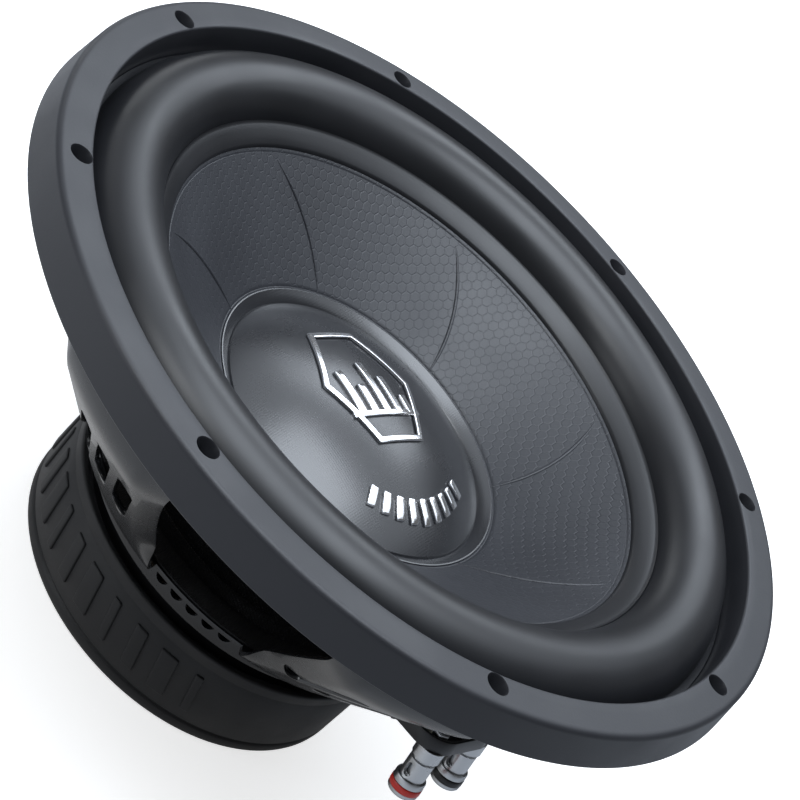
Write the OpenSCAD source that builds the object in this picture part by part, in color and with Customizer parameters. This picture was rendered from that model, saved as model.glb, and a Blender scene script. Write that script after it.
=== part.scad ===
// Car subwoofer driver, twelve inch class.
// The axis is +Z and points out of the front. The driver stands on its
// magnet boot at z = 0, and the first fixing hole is on +X.

/* [Overall] */
// Height of the trim ring's front face above the back of the boot, mm
front_z = 149; // [120:0.5:180]
// Outer diameter of the trim ring, mm
overall_d = 315; // [300:1:330]
// Travel of the cone each way, mm
cone_travel = 10; // [4:0.5:12]

/* [Fixing flange and trim ring] */
// Diameter of the circle of fixing holes, mm
hole_circle_d = 294; // [280:0.5:300]
// Number of fixing holes
hole_count = 8; // [4:1:8]
// Diameter of a fixing hole in the steel flange, mm
flange_hole_d = 5.5; // [4:0.1:7]
// Diameter of a fixing hole in the trim ring, mm
ring_hole_d = 7.8; // [6:0.1:8.2]
// Outer diameter of the steel flange, mm
flange_d = 306; // [300:1:312]
// Height of the trim ring, mm
ring_h = 15; // [8:0.5:18]
// Inner diameter of the trim ring, mm
ring_in_d = 284.8; // [282:0.2:288]

/* [Basket] */
// Diameter of the basket where it passes the baffle cut-out, mm
spigot_d = 277; // [270:0.5:282]
// Thickness of the pressed steel, mm
steel_t = 1.6; // [1:0.1:2.5]
// Number of windows, and of slotted panels between them
window_count = 6; // [4:1:8]
// Angle that one window takes, degrees
window_angle = 28.6; // [20:0.2:34]
// Diameter of the rim under the windows, mm
rim_d = 161; // [150:0.5:170]
// Diameter of the basket's foot, mm
foot_d = 143.2; // [130:0.2:150]
// Small vent holes under each window
vents_per_window = 5; // [1:1:7]
// Diameter of a small vent hole, mm
vent_d = 5.5; // [3:0.1:7]

/* [Cone and suspension] */
// Outer diameter of the cone, mm
cone_d = 219; // [210:0.5:224]
// Outer diameter of the dust cap's glued rim, mm
cap_rim_d = 119.6; // [100:0.2:130]
// Diameter of the dust cap's dome, mm
dome_d = 110; // [90:1:118]
// Rise of the dome, mm
dome_h = 14.5; // [8:0.5:20]
// Height of the surround's half roll, mm
roll_r = 15; // [10:0.5:16]
// Outer diameter of the spider, mm
spider_d = 159; // [140:1:160]
// Height of the spider's corrugation, mm
wave_h = 1.5; // [0.5:0.1:2.5]

/* [Motor] */
// Outer diameter of the rubber boot, mm
boot_d = 145; // [130:0.5:160]
// Height of the rubber boot, mm
boot_h = 37; // [30:0.5:45]
// Diameter of the pole, mm
pole_d = 60.8; // [50:0.2:70]
// Diameter of the vent through the pole, mm
vent_bore_d = 20; // [10:0.5:30]
// Height of the voice coil winding, mm
winding_h = 24; // [16:0.5:30]

/* [Terminals] */
// Angle of the terminals around the axis, degrees
terminal_angle = -15; // [-60:1:60]
// Distance between the two posts, mm
post_spacing = 23.6; // [19:0.1:28]
// Outward tilt of the posts, degrees
post_tilt = 14; // [0:0.5:20]
// Travel of a push cap, mm
push_travel = 2; // [1:0.1:2.2]

/* [Hidden] */
$fn = 96;
eps = 0.01;
ring_z = front_z - ring_h;
flange_back_z = ring_z - steel_t;
window_step = 360 / window_count;
window_phase = 45;

// outside line of the basket, from the foot up to the flange
foot_z = 41;
ledge_z = 56;
wall_foot_r = 84.8;
wall_foot_z = 55.2;
wall_top_z = 113;
spigot_r = spigot_d / 2;
rim_r = rim_d / 2;
foot_r = foot_d / 2;
wall_angle = atan2(wall_top_z - wall_foot_z, spigot_r - wall_foot_r);
window_top_z = 125;
patch_top_z = 72;
// the band that guides the driver in the baffle stands a little proud
register_z = 125.2;
register_step = 1;

// the cone's front face is a straight line in section
cone_r = cone_d / 2;
cone_slope = 0.68;
cone_ref_r = 59.8;
cone_ref_z = 102.2;
cone_t = 1.7;
neck_r = 33.2;
neck_z = 79;
former_r = 31;
former_t = 0.4;
winding_t = 2;
former_z0 = 25;
former_z1 = 88;
winding_z0 = 37 - winding_h / 2;
gap_r = 34.1;

// dust cap dome as a piece of a sphere
dome_r = dome_d / 2;
dome_edge_z = 100.3;
dome_ball_r = (dome_r * dome_r + dome_h * dome_h) / (2 * dome_h);
dome_ball_z = dome_edge_z + dome_h - dome_ball_r;

// motor stack from the back
boot_r = boot_d / 2;
boot_t = 2.2;
yoke_z = 2;
yoke_t = 7;
magnet_z = yoke_z + yoke_t;
magnet_h = 24;
plate_z = magnet_z + magnet_h;
plate_t = 8;
pole_top_z = 44;
screw_circle_r = 52;
screw_count = 6;

// terminals, in the bracket's own tilted frame
term_r = 111.2;
term_z = 69.1;
bracket_floor = 3;
tray_z = 2;
slab_r = 96.2;
slab_z = 67.6;
slab_t = 2.2;
rivet_y = 10.5;
stem_r = 2;
cap_wall = 0.95;
post_r = 4.8;
post_end_z = -14;
cap_floor_z = -18.2;
cap_end_z = -19.5;
cap_top_z = -12.4;
cap_in_r = 4.9;
plunger_r = 2.9;
post_bore_r = 3;

// ---------- shared helpers ----------

function unit(v) = v / norm(v);

function cone_front(r) = cone_ref_z + (r - cone_ref_r) * cone_slope;

function loop_points(p, t, ref, r, n) =
  let (a = unit(cross(t, ref)), b = cross(unit(t), a))
  [for (i = [0 : n - 1]) p + r * (a * cos(i * 360 / n) + b * sin(i * 360 / n))];

// a round wire along a list of points
module wire(path, r, ref, n) {
  m = len(path);
  rings = [for (i = [0 : m - 1])
    each loop_points(path[i], path[min(i + 1, m - 1)] - path[max(i - 1, 0)], ref, r, n)];
  sides = [for (i = [0 : m - 2], j = [0 : n - 1])
    [i * n + j, (i + 1) * n + j, (i + 1) * n + (j + 1) % n, i * n + (j + 1) % n]];
  start_cap = [[for (j = [0 : n - 1]) j]];
  end_cap = [[for (j = [0 : n - 1]) (m - 1) * n + n - 1 - j]];
  polyhedron(concat(rings), concat(sides, start_cap, end_cap), convexity = 6);
}

// point on a smooth curve through four neighbours
function smooth(a, b, c, d, t) =
  0.5 * ((2 * b) + (c - a) * t + (2 * a - 5 * b + 4 * c - d) * t * t
  + (3 * b - a - 3 * c + d) * t * t * t);

function smooth_path(p, steps) =
  let (m = len(p))
  [for (i = [0 : m - 2], k = [0 : steps - 1])
    smooth(p[max(i - 1, 0)], p[i], p[i + 1], p[min(i + 2, m - 1)], k / steps),
   p[m - 1]];

// everything inside the basket's outside line
module basket_outline_solid() {
  rotate_extrude($fn = 180)
    polygon([[0, foot_z], [foot_r, foot_z], [foot_r, ledge_z - steel_t],
      [wall_foot_r, ledge_z - steel_t], [wall_foot_r, wall_foot_z],
      [spigot_r, wall_top_z], [spigot_r, ring_z], [0, ring_z]]);
}

// a sector of the plane, from r0 outwards
module sector(r0, r1, angle) {
  difference() {
    polygon([[0, 0], [r1, -r1 * tan(angle / 2)], [r1, r1 * tan(angle / 2)]]);
    circle(r = r0, $fn = 180);
  }
}

// slot with round ends, standing along y
module slot_2d(width, length) {
  square([width, length - width], center = true);
  for (s = [-1, 1])
    translate([0, s * (length - width) / 2])
      circle(d = width, $fn = 32);
}

// places its children on the sloping wall at an angle and a height
module on_wall(angle, r, z) {
  rotate([0, 0, angle])
    translate([r, 0, z])
      rotate([0, 90 + 90 - wall_angle, 0])
        children();
}

// ---------- frame ----------

module basket_section() {
  inner_slope_r = wall_foot_r - 0.7;
  polygon([
    [36, foot_z], [foot_r, foot_z], [foot_r, ledge_z - steel_t],
    [wall_foot_r, ledge_z - steel_t], [wall_foot_r, wall_foot_z],
    [spigot_r - register_step, wall_top_z - register_step * tan(wall_angle)], [spigot_r - register_step, register_z],
    [spigot_r, register_z], [spigot_r, flange_back_z],
    [flange_d / 2, flange_back_z], [flange_d / 2, ring_z],
    [spigot_r - steel_t, ring_z], [spigot_r - steel_t, register_z + 0.6],
    [spigot_r - steel_t - register_step, register_z - 0.6],
    [spigot_r - steel_t - register_step, wall_top_z + 0.65 - register_step * tan(wall_angle)],
    [inner_slope_r - 1.1, ledge_z], [foot_r - steel_t, ledge_z],
    [foot_r - steel_t, foot_z + steel_t], [36, foot_z + steel_t]]);
}

module panel_slots() {
  for (x = [-15, 0, 15])
    translate([0, x])
      rotate([0, 0, 90 - 16])
        slot_2d(8.4, 38);
}

module basket() {
  color([0.22, 0.23, 0.25])
    difference() {
      rotate_extrude($fn = 180)
        basket_section();
      // windows
      for (k = [0 : window_count - 1])
        rotate([0, 0, window_phase + k * window_step])
          translate([0, 0, k == window_count - 1 ? patch_top_z : ledge_z - 3])
            linear_extrude(window_top_z - (k == window_count - 1 ? patch_top_z : ledge_z - 3))
              sector(rim_r, 170, window_angle);
      // slots in the panels
      for (k = [0 : window_count - 1])
        on_wall(window_phase + (k + 0.5) * window_step, 112.5, 85)
          translate([0, 0, -8])
            linear_extrude(16)
              panel_slots();
      // small vents under the windows
      for (k = [0 : window_count - 1], j = [0 : vents_per_window - 1])
        rotate([0, 0, window_phase + k * window_step + (j - (vents_per_window - 1) / 2) * 5.85])
          translate([foot_r - 6, 0, 48])
            rotate([0, 90, 0])
              cylinder(d = vent_d, h = 10, $fn = 32);
      // fixing holes
      for (k = [0 : hole_count - 1])
        rotate([0, 0, k * 360 / hole_count])
          translate([hole_circle_d / 2, 0, flange_back_z - 1])
            cylinder(d = flange_hole_d, h = steel_t + 2, $fn = 48);
      // holes for the plate screws
      for (k = [0 : screw_count - 1])
        rotate([0, 0, k * 360 / screw_count])
          translate([screw_circle_r, 0, foot_z - 1])
            cylinder(r = 2.6, h = steel_t + 2, $fn = 32);
      // holes for the bracket's rivets
      rivet_places()
        translate([0, 0, -8])
          cylinder(r = 1.65, h = 12, $fn = 32);
    }
}

module trim_gasket() {
  outer_r = overall_d / 2;
  shoulder_r = outer_r - 1.9;
  color([0.33, 0.34, 0.37])
    difference() {
      rotate_extrude($fn = 180)
        difference() {
          union() {
            polygon([[ring_in_d / 2, ring_z], [outer_r, ring_z], [outer_r, ring_z + 0.8],
              [shoulder_r, front_z - 2.2], [shoulder_r - 2.2, front_z],
              [ring_in_d / 2 + 0.6, front_z], [ring_in_d / 2, front_z - 0.6]]);
            translate([shoulder_r - 2.2, front_z - 2.2])
              circle(r = 2.2, $fn = 48);
          }
        }
      for (k = [0 : hole_count - 1])
        rotate([0, 0, k * 360 / hole_count])
          translate([hole_circle_d / 2, 0, ring_z - 1])
            cylinder(d = ring_hole_d, h = ring_h + 2, $fn = 48);
    }
}

// ---------- cone and suspension ----------

module surround() {
  roll_c = 124.3;
  lip_gap = 0.15;
  color([0.15, 0.15, 0.16])
    rotate_extrude($fn = 180) {
      // half roll, open at the back
      intersection() {
        translate([roll_c, ring_z + 0.6])
          difference() {
            circle(r = roll_r, $fn = 96);
            circle(r = roll_r - 1.3, $fn = 96);
          }
        polygon([[roll_c - 20, cone_front(cone_r) + 0.3], [roll_c, cone_front(cone_r) + 0.3],
          [roll_c, ring_z + 0.6], [roll_c + 20, ring_z + 0.6],
          [roll_c + 20, ring_z + 20], [roll_c - 20, ring_z + 20]]);
      }
      // outer lip, glued to the flange
      translate([138, ring_z])
        square([4.2, 1.2]);
      // inner lip, glued to the cone
      polygon([[101.9, cone_front(101.9) + lip_gap], [cone_r + 1, cone_front(cone_r + 1) + lip_gap],
        [cone_r + 1, cone_front(cone_r + 1) + 1.4], [107, cone_front(107) + 1.1],
        [102.2, cone_front(102.2) + 1]]);
    }
}

module cone() {
  color([0.28, 0.29, 0.31])
    rotate_extrude($fn = 180)
      polygon([[former_r + former_t + 0.05, neck_z], [neck_r, neck_z],
        [neck_r, cone_front(neck_r) - cone_t], [cone_r, cone_front(cone_r) - cone_t],
        [cone_r, cone_front(cone_r)], [neck_r + 0.2, cone_front(neck_r + 0.2)],
        [former_r + former_t + 0.05, cone_front(neck_r + 0.2)]]);
}

module dust_cap() {
  cap_t = 1;
  color([0.24, 0.25, 0.27])
    rotate_extrude($fn = 180) {
      intersection() {
        translate([0, dome_ball_z])
          difference() {
            circle(r = dome_ball_r, $fn = 360);
            circle(r = dome_ball_r - cap_t, $fn = 360);
          }
        translate([0, cone_front(dome_r) + 0.1])
          square([dome_r, dome_h + 10]);
      }
      // glued rim on the cone
      polygon([[dome_r - 1, cone_front(dome_r - 1)], [cap_rim_d / 2, cone_front(cap_rim_d / 2)],
        [cap_rim_d / 2, cone_front(cap_rim_d / 2) + 0.8], [dome_r - 0.4, cone_front(dome_r) + 0.9]]);
    }
}

// keeps what stands on the dome, up to a height above it
module on_dome(h) {
  intersection() {
    rotate_extrude($fn = 180)
      intersection() {
        translate([0, dome_ball_z])
          difference() {
            circle(r = dome_ball_r + h, $fn = 360);
            circle(r = dome_ball_r, $fn = 360);
          }
        translate([0, dome_edge_z])
          square([dome_r, dome_h + 10]);
      }
    translate([0, 0, dome_edge_z])
      children();
  }
}

// badge: a tall six sided frame with level bars, on the side away from the terminals
module cap_badge() {
  bar_heights = [10, 20, 28, 16, 24];
  color([0.85, 0.86, 0.88])
    on_dome(1.2)
      rotate([0, 0, terminal_angle + 180])
        translate([9, 0, 0])
          linear_extrude(30) {
            difference() {
              polygon([[-29, 0], [-14, -20], [14, -20], [29, 0], [14, 20], [-14, 20]]);
              polygon([[-26, 0], [-12.5, -17.6], [12.5, -17.6], [26, 0], [12.5, 17.6], [-12.5, 17.6]]);
            }
            translate([-14.5, -17.8])
              square([2.4, 35.6]);
            for (i = [0 : 4])
              translate([-14, -14.6 + i * 6.4])
                square([bar_heights[i] * 0.82, 3.6]);
          }
}

// row of ticks around the foot of the dome, on the terminal side
module badge_ticks() {
  color([0.85, 0.86, 0.88])
    on_dome(1.2)
      for (i = [-4 : 4])
        rotate([0, 0, terminal_angle + i * 8.6])
          translate([37, -1.7, 0])
            cube([9 - abs(i) * 0.5, 3.4, 30]);
}

module coil_former() {
  color([0.72, 0.6, 0.42])
    translate([0, 0, former_z0])
      difference() {
        cylinder(r = former_r + former_t, h = former_z1 - former_z0);
        translate([0, 0, -1])
          cylinder(r = former_r, h = former_z1 - former_z0 + 2);
      }
}

module coil_winding() {
  color([0.62, 0.3, 0.16])
    translate([0, 0, winding_z0])
      difference() {
        cylinder(r = former_r + former_t + winding_t, h = winding_h);
        translate([0, 0, -1])
          cylinder(r = former_r + former_t, h = winding_h + 2);
      }
}

module former_collar() {
  collar_z = 52;
  color([0.5, 0.42, 0.3])
    translate([0, 0, collar_z])
      difference() {
        cylinder(r = 32.6, h = neck_z - 0.2 - collar_z);
        translate([0, 0, -1])
          cylinder(r = former_r + former_t, h = neck_z - collar_z + 2);
      }
}

module spider() {
  r_in = 32.9;
  r_wave0 = 37;
  r_wave1 = 69;
  waves = 4;
  sheet = 0.7;
  steps = 64;
  span = r_wave1 - r_wave0;
  wave = [for (i = [0 : steps])
    [r_wave0 + span * i / steps, ledge_z + wave_h * sin(360 * waves * i / steps)]];
  color([0.1, 0.1, 0.1])
    rotate_extrude($fn = 180)
      polygon(concat(
        [[r_in, ledge_z]], wave, [[spider_d / 2, ledge_z], [spider_d / 2, ledge_z + sheet]],
        [for (i = [steps : -1 : 0]) [wave[i][0], wave[i][1] + sheet]],
        [[r_in, ledge_z + sheet]]));
}

// ---------- motor ----------

module top_plate() {
  color([0.12, 0.12, 0.13])
    translate([0, 0, plate_z])
      difference() {
        cylinder(r = 66, h = plate_t, $fn = 180);
        translate([0, 0, -1])
          cylinder(r = gap_r, h = plate_t + 2);
        for (k = [0 : screw_count - 1])
          rotate([0, 0, k * 360 / screw_count])
            translate([screw_circle_r, 0, 2])
              cylinder(r = 2.6, h = plate_t, $fn = 32);
      }
}

module magnet() {
  color([0.1, 0.1, 0.11])
    translate([0, 0, magnet_z])
      difference() {
        cylinder(r = 70, h = magnet_h, $fn = 180);
        translate([0, 0, -1])
          cylinder(r = 39, h = magnet_h + 2);
      }
}

module yoke() {
  color([0.2, 0.2, 0.21])
    difference() {
      rotate_extrude($fn = 180)
        polygon([[0, yoke_z], [64, yoke_z], [67, yoke_z + 3], [67, magnet_z],
          [pole_d / 2 + 3, magnet_z], [pole_d / 2, magnet_z + 3],
          [pole_d / 2, pole_top_z], [0, pole_top_z]]);
      translate([0, 0, -1])
        cylinder(d = vent_bore_d, h = pole_top_z + 2, $fn = 64);
      translate([0, 0, yoke_z - 1])
        cylinder(r = 12.1, h = 2.4, $fn = 64);
    }
}

module vent_screen() {
  pitch = 3.2;
  color([0.3, 0.3, 0.31])
    translate([0, 0, yoke_z + 0.2])
      difference() {
        cylinder(r = 12, h = 1.2, $fn = 64);
        for (a = [-3 : 3], b = [-3 : 3]) {
          px = pitch * (a + b / 2);
          py = pitch * b * sqrt(3) / 2;
          if (norm([px, py]) < 10)
            translate([px, py, -1])
              cylinder(r = 1, h = 4, $fn = 16);
        }
      }
}

module magnet_boot() {
  groove_z = 5.2;
  color([0.09, 0.09, 0.1])
    rotate_extrude($fn = 180)
      difference() {
        union() {
          polygon([[16, 0], [boot_r - 2.4, 0], [boot_r, 2.4], [boot_r, boot_h - 1.5],
            [boot_r - 1.2, boot_h], [boot_r - boot_t, boot_h], [boot_r - boot_t, yoke_z],
            [16, yoke_z]]);
          translate([boot_r - 2.4, 2.4])
            circle(r = 2.4, $fn = 48);
        }
        translate([boot_r - boot_t - 4, yoke_z])
          square([4, boot_h]);
        translate([boot_r + 0.2, groove_z + 0.6])
          circle(r = 0.9, $fn = 32);
      }
}

module plate_screws() {
  color([0.7, 0.7, 0.72])
    for (k = [0 : screw_count - 1])
      rotate([0, 0, k * 360 / screw_count])
        translate([screw_circle_r, 0, foot_z + steel_t]) {
          translate([0, 0, -7])
            cylinder(r = 2.5, h = 7 + eps, $fn = 32);
          difference() {
            cylinder(r = 4.2, h = 2.2, $fn = 48);
            translate([0, 0, 0.8])
              cylinder(r = 2.2, h = 2, $fn = 6);
          }
        }
}

// ---------- terminals ----------

// the bracket's frame: +Z runs back up a post towards the front of the driver
module at_terminals() {
  rotate([0, 0, terminal_angle])
    translate([term_r, 0, term_z])
      rotate([0, -post_tilt, 0])
        children();
}

module at_tray() {
  at_terminals()
    translate([0, 0, tray_z])
      children();
}

module at_post(side) {
  at_terminals()
    translate([0, side * post_spacing / 2, 0])
      children();
}

module rivet_places() {
  for (s = [-1, 1])
    rotate([0, 0, terminal_angle])
      translate([slab_r, s * rivet_y, slab_z])
        rotate([0, 180 - wall_angle, 0])
          children();
}

module bracket_outline(grow) {
  corner = 10.5 + grow;
  half_w = 18.6 + grow;
  front = 5.8 + grow;
  translate([-22, -half_w])
    square([22 + front - corner, 2 * half_w]);
  translate([-22, -half_w + corner])
    square([22 + front, 2 * half_w - 2 * corner]);
  for (s = [-1, 1])
    translate([front - corner, s * (half_w - corner)])
      circle(r = corner, $fn = 64);
}

module terminal_bracket() {
  color([0.06, 0.06, 0.065])
    difference() {
      union() {
        at_tray() {
          linear_extrude(bracket_floor)
            bracket_outline(0);
          // raised rim
          linear_extrude(bracket_floor + 2.6)
            difference() {
              bracket_outline(0);
              bracket_outline(-1.2);
            }
          // triangular stiffeners
          for (y = [-17.6, 0, 17.6])
            translate([0, y + 1, bracket_floor - eps])
              rotate([90, 0, 0])
                linear_extrude(2)
                  polygon([[-20, 0], [y == 0 ? 3.2 : -5, 0], [-13, 7.5], [-20, 7.5]]);
        }
        // foot that lies on the basket
        rotate([0, 0, terminal_angle])
          translate([slab_r, 0, slab_z])
            rotate([0, 180 - wall_angle, 0])
              translate([-4.5, -14.5, -4])
                cube([9, 29, 4 + slab_t]);
      }
      basket_outline_solid();
      at_terminals()
        for (s = [-1, 1])
          translate([0, s * post_spacing / 2, -1])
            cylinder(r = stem_r + 0.1, h = 8, $fn = 48);
      rivet_places()
        translate([0, 0, -8])
          cylinder(r = 1.65, h = 12, $fn = 32);
    }
}

module bracket_rivets() {
  color([0.75, 0.75, 0.77])
    rivet_places() {
      translate([0, 0, -4.6])
        cylinder(r = 1.6, h = 4.6 + slab_t, $fn = 32);
      translate([0, 0, slab_t])
        cylinder(r = 3, h = 1.3, $fn = 32);
      translate([0, 0, -5.4])
        cylinder(r = 2.8, h = 1.2, $fn = 32);
    }
}

module post() {
  difference() {
    rotate_extrude($fn = 64)
      polygon([[0, post_end_z], [post_r, post_end_z], [post_r, -4.2], [4.3, -4.2],
        [4.3, -3.2], [5.3, -3.2], [5.3, tray_z], [stem_r, tray_z], [stem_r, tray_z + 9],
        [0, tray_z + 9]]);
    translate([0, 0, post_end_z - 1])
      cylinder(r = post_bore_r, h = -4.4 - post_end_z + 1, $fn = 64);
    // wire slot, right through
    rotate([90, 0, 0])
      translate([0, -8.7, -8])
        linear_extrude(16)
          slot_2d(3.2, 5.4);
  }
}

module push_cap() {
  difference() {
    union() {
      difference() {
        translate([0, 0, cap_end_z])
          cylinder(r = cap_in_r + cap_wall, h = cap_top_z - cap_end_z, $fn = 64);
        translate([0, 0, cap_floor_z])
          cylinder(r = cap_in_r, h = 10, $fn = 64);
        // seat of the coloured band
        translate([0, 0, -17.6])
          difference() {
            cylinder(r = 8, h = 2.6, $fn = 64);
            translate([0, 0, -1])
              cylinder(r = 5.5, h = 5, $fn = 64);
          }
      }
      // plunger inside the post
      translate([0, 0, cap_floor_z - eps])
        cylinder(r = plunger_r, h = -6.9 - cap_floor_z, $fn = 64);
    }
    rotate([90, 0, 0])
      translate([0, -8.7 - push_travel, -8])
        linear_extrude(16)
          intersection() {
            slot_2d(3.2, 5);
            square([10, 10], center = true);
          }
  }
}

module band() {
  translate([0, 0, -17.6])
    difference() {
      cylinder(r = 5.95, h = 2.6, $fn = 64);
      translate([0, 0, -1])
        cylinder(r = 5.5, h = 5, $fn = 64);
    }
}

module cap_spring() {
  turns = 3;
  wire_r = 0.3;
  z0 = cap_floor_z + 0.35;
  z1 = post_end_z - 0.35;
  steps = 60;
  wire([for (i = [0 : steps])
    [3.9 * cos(360 * turns * i / steps), 3.9 * sin(360 * turns * i / steps),
     z0 + (z1 - z0) * i / steps]], wire_r, [0, 0, 1], 8);
}

module post_nut() {
  translate([0, 0, tray_z + bracket_floor + 0.8])
    difference() {
      cylinder(r = 3.3, h = 3, $fn = 6);
      translate([0, 0, -1])
        cylinder(r = stem_r, h = 5, $fn = 48);
    }
}

module solder_tag() {
  translate([0, 0, tray_z])
    difference() {
      union() {
        translate([0, 0, bracket_floor])
          cylinder(r = 3.1, h = 0.8, $fn = 48);
        translate([-7, -2, bracket_floor])
          cube([5, 4, 0.8]);
        translate([-7, 2, bracket_floor])
          rotate([90, 0, 0])
            linear_extrude(4)
              polygon([[0.01, 0], [0.01, 0.8], [-0.3, 0.8], [-4.4, 6.6], [-5, 6.2], [-0.7, 0]]);
      }
      translate([0, 0, bracket_floor - 1])
        cylinder(r = stem_r + 0.1, h = 4, $fn = 48);
    }
}

// flexible lead from a tag through the window to the back of the cone
module lead(side) {
  y0 = side * post_spacing / 2;
  route = [[97.3, y0, 79.1], [95.2, y0, 83], [88, y0 * 0.98, 86.5], [78, y0 * 0.92, 88.5],
    [68, y0 * 0.84, 86.5], [59, y0 * 0.76, 85], [53.6, y0 * 0.7, 87], [52, y0 * 0.68, 91.4]];
  rotate([0, 0, terminal_angle])
    wire(smooth_path(route, 6), 0.9, [0, 1, 0], 8);
}

module lead_eyelets() {
  color([0.78, 0.7, 0.45])
    for (s = [-1, 1])
      rotate([0, 0, terminal_angle])
        translate([52, s * post_spacing / 2 * 0.68, 0])
          difference() {
            translate([0, 0, 91.8])
              cylinder(r = 1.8, h = 5, $fn = 32);
            rotate([0, 0, -terminal_angle])
              translate([0, 0, 0])
                eyelet_trim(s);
          }
}

// the cone's back face, moved to an eyelet's own place
module eyelet_trim(s) {
  rotate([0, 0, terminal_angle])
    translate([-52, -s * post_spacing / 2 * 0.68, 0])
      rotate_extrude($fn = 180)
        polygon([[neck_r, cone_front(neck_r) - cone_t - 0.02], [cone_r, cone_front(cone_r) - cone_t - 0.02],
          [cone_r, cone_front(cone_r) + 20], [neck_r, cone_front(cone_r) + 20]]);
}

module positive_post() {
  color([0.8, 0.81, 0.83])
    at_post(-1)
      post();
}

module negative_post() {
  color([0.8, 0.81, 0.83])
    at_post(1)
      post();
}

module positive_nut() {
  color([0.8, 0.81, 0.83])
    at_post(-1)
      post_nut();
}

module negative_nut() {
  color([0.8, 0.81, 0.83])
    at_post(1)
      post_nut();
}

module positive_tag() {
  color([0.82, 0.8, 0.7])
    at_post(-1)
      solder_tag();
}

module negative_tag() {
  color([0.82, 0.8, 0.7])
    at_post(1)
      solder_tag();
}

module positive_cap() {
  color([0.8, 0.81, 0.83])
    at_post(-1)
      push_cap();
}

module negative_cap() {
  color([0.8, 0.81, 0.83])
    at_post(1)
      push_cap();
}

module positive_band() {
  color([0.75, 0.1, 0.08])
    at_post(-1)
      band();
}

module negative_band() {
  color([0.05, 0.05, 0.05])
    at_post(1)
      band();
}

module positive_spring() {
  color([0.7, 0.7, 0.72])
    at_post(-1)
      cap_spring();
}

module negative_spring() {
  color([0.7, 0.7, 0.72])
    at_post(1)
      cap_spring();
}

module positive_lead() {
  color([0.65, 0.45, 0.25])
    lead(-1);
}

module negative_lead() {
  color([0.65, 0.45, 0.25])
    lead(1);
}

basket();
trim_gasket();
surround();
cone();
dust_cap();
cap_badge();
badge_ticks();
coil_former();
coil_winding();
former_collar();
spider();
top_plate();
magnet();
yoke();
vent_screen();
magnet_boot();
plate_screws();
terminal_bracket();
bracket_rivets();
positive_post();
negative_post();
positive_nut();
negative_nut();
positive_tag();
negative_tag();
positive_cap();
negative_cap();
positive_band();
negative_band();
positive_spring();
negative_spring();
positive_lead();
negative_lead();
lead_eyelets();
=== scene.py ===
# %% [markdown]
# # A twelve inch car subwoofer driver
# The imported model gives the frame: every part at its real size, in metres, with the
# driver standing on its magnet and its axis along Z. This lesson gives the driver its
# looks on top of that frame. We load the frame first. Nothing that we model may grow
# out of it.

# %% Load the frame
import math

import bpy
from mathutils import Matrix, Quaternion, Vector


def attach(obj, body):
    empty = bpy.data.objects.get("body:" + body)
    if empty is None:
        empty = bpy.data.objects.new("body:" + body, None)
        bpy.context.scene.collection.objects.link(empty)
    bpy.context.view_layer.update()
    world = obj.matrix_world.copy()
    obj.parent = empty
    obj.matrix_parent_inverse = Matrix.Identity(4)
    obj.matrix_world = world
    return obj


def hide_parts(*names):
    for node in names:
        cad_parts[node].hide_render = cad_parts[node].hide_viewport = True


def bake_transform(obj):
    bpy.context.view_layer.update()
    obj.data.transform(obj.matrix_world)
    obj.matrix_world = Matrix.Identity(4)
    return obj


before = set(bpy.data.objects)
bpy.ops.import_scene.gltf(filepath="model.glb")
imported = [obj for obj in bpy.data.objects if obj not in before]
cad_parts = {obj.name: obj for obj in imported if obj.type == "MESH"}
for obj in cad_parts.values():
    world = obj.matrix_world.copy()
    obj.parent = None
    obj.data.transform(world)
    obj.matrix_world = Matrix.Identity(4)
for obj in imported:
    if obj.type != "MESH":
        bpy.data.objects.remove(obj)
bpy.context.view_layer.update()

# %% [markdown]
# ## Camera, floor and lights
# The driver is seen from above its near side with the camera rolled well over, so that
# it seems to lean back. A long lens keeps the round parts even. The lens, the distance and
# the roll belong together, so they are stated side by side.

# %% Camera
CAMERA_AIM = Vector((0.0033, 0.0020, 0.120))
CAMERA_TURN = math.radians(-80.12)
CAMERA_RISE = math.radians(28.95)
CAMERA_ROLL = math.radians(46.6)
CAMERA_DISTANCE = 0.8168
FRONT_FACE = Vector((0, 0, 0.149))

bpy.ops.object.camera_add()
camera = bpy.context.object
camera.name = "studio_camera"
camera.location = FRONT_FACE + CAMERA_DISTANCE * Vector((
    math.cos(CAMERA_RISE) * math.cos(CAMERA_TURN),
    math.cos(CAMERA_RISE) * math.sin(CAMERA_TURN),
    math.sin(CAMERA_RISE)))
gaze = (CAMERA_AIM - camera.location).normalized()
camera.rotation_euler = (gaze.to_track_quat("-Z", "Y")
                         @ Quaternion((0, 0, 1), CAMERA_ROLL)).to_euler()
camera.data.lens = 107.75
camera.data.sensor_width = 36
bpy.context.scene.camera = camera
print("camera at", [round(v, 4) for v in camera.location])


# %% [markdown]
# The studio is a large pale floor and some soft boxes. Black rubber shows itself only
# by what it mirrors, so where a box stands matters more than its power. The ceiling and
# the top box give the domed parts their highlights, the back boxes lie in the mirror
# direction of the level faces, and the low ones draw out the sides.

# %% Floor and lights
def soft_box(name, place, target, size, power, tint=(1, 1, 1)):
    """An area light that looks from one point to another."""
    bpy.ops.object.light_add(type="AREA", location=place)
    lamp = bpy.context.object
    lamp.name = name
    lamp.data.shape = "RECTANGLE"
    lamp.data.size = size[0]
    lamp.data.size_y = size[1]
    lamp.data.energy = power
    lamp.data.color = tint
    aim = Vector(target) - Vector(place)
    lamp.rotation_euler = aim.to_track_quat("-Z", "Y").to_euler()
    return lamp


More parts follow.
